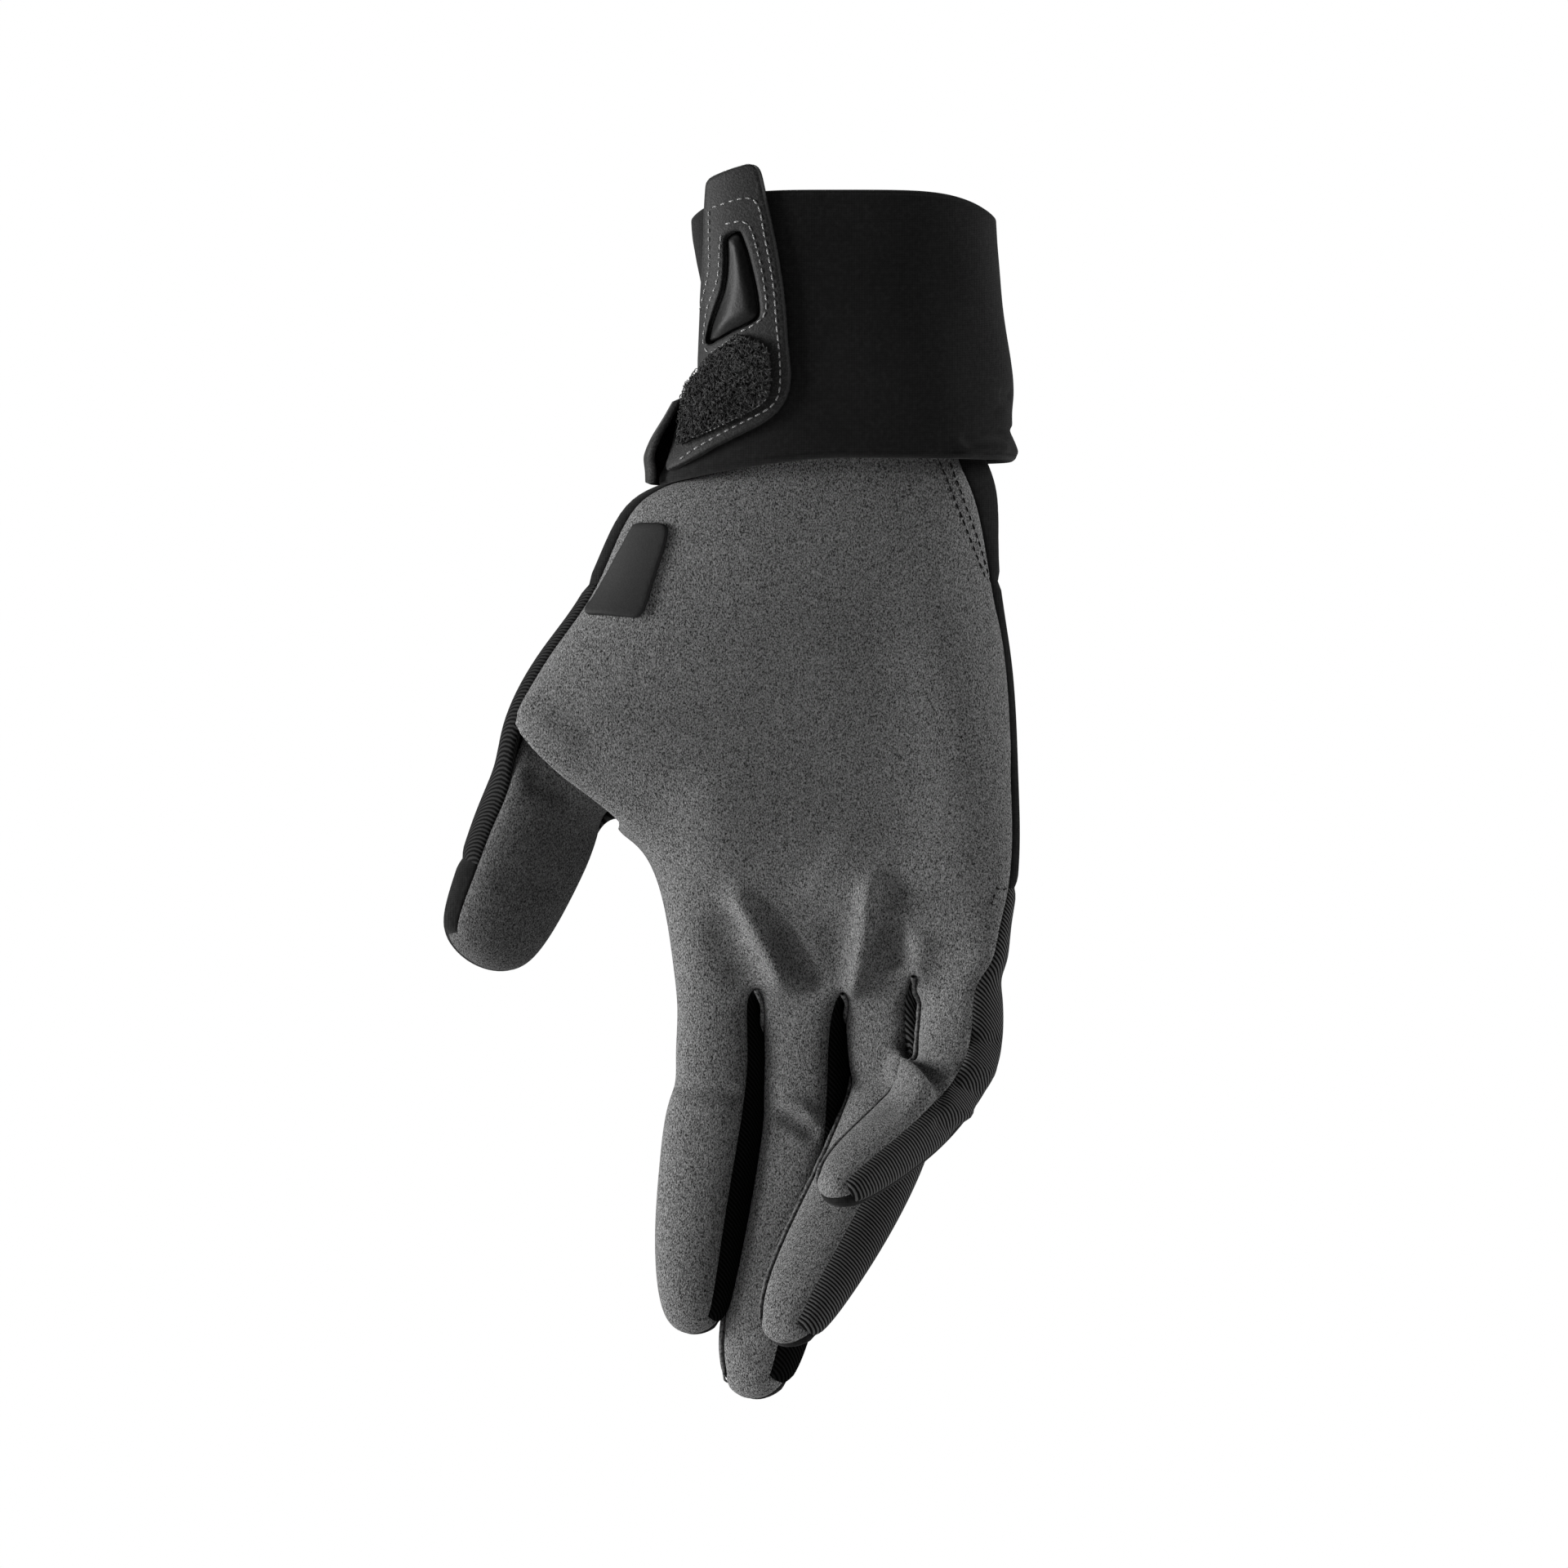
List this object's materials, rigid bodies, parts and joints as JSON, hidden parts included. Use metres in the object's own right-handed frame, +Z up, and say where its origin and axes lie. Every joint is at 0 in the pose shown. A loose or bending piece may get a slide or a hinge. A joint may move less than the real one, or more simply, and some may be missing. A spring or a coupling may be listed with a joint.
{
  "type": "motorcycle glove",
  "caption": "Right-hand motorcycle glove in its worn shape: grey suede palm, black fabric back and finger sides, knit cuff with a hook-and-loop closure strap.",
  "frame": {"origin": "centre of the cuff's mouth, where the hand goes in", "axes": "+Z up the arm out of the cuff, fingers hanging towards -Z; the palm faces -Y; +X is the little finger's side and the thumb is at -X"},
  "size_m": [0.1295, 0.0632, 0.2777],
  "materials": {
    "suede": "napped grey suede",
    "black_fabric": "matte black knit and twill",
    "strap_leather": "satin black synthetic leather",
    "loop_pile": "matte black loop pile",
    "tag_rubber": "satin dark grey"
  },
  "bodies": {
    "root": {"palm_panel": "suede", "thumb_front": "suede", "back_panel": "black_fabric", "fourchette_index_middle": "black_fabric", "fourchette_middle_ring": "black_fabric", "fourchette_ring_little": "black_fabric", "ulnar_panel": "black_fabric", "wrist_gusset": "black_fabric", "radial_strip": "black_fabric", "thumb_back": "black_fabric", "thumb_tip": "black_fabric", "cuff": "black_fabric", "closure_strap": "strap_leather", "strap_insert": "strap_leather", "closure_flap": "strap_leather", "loop_patch": "loop_pile", "palm_tag": "tag_rubber"}
  },
  "joints": []
}
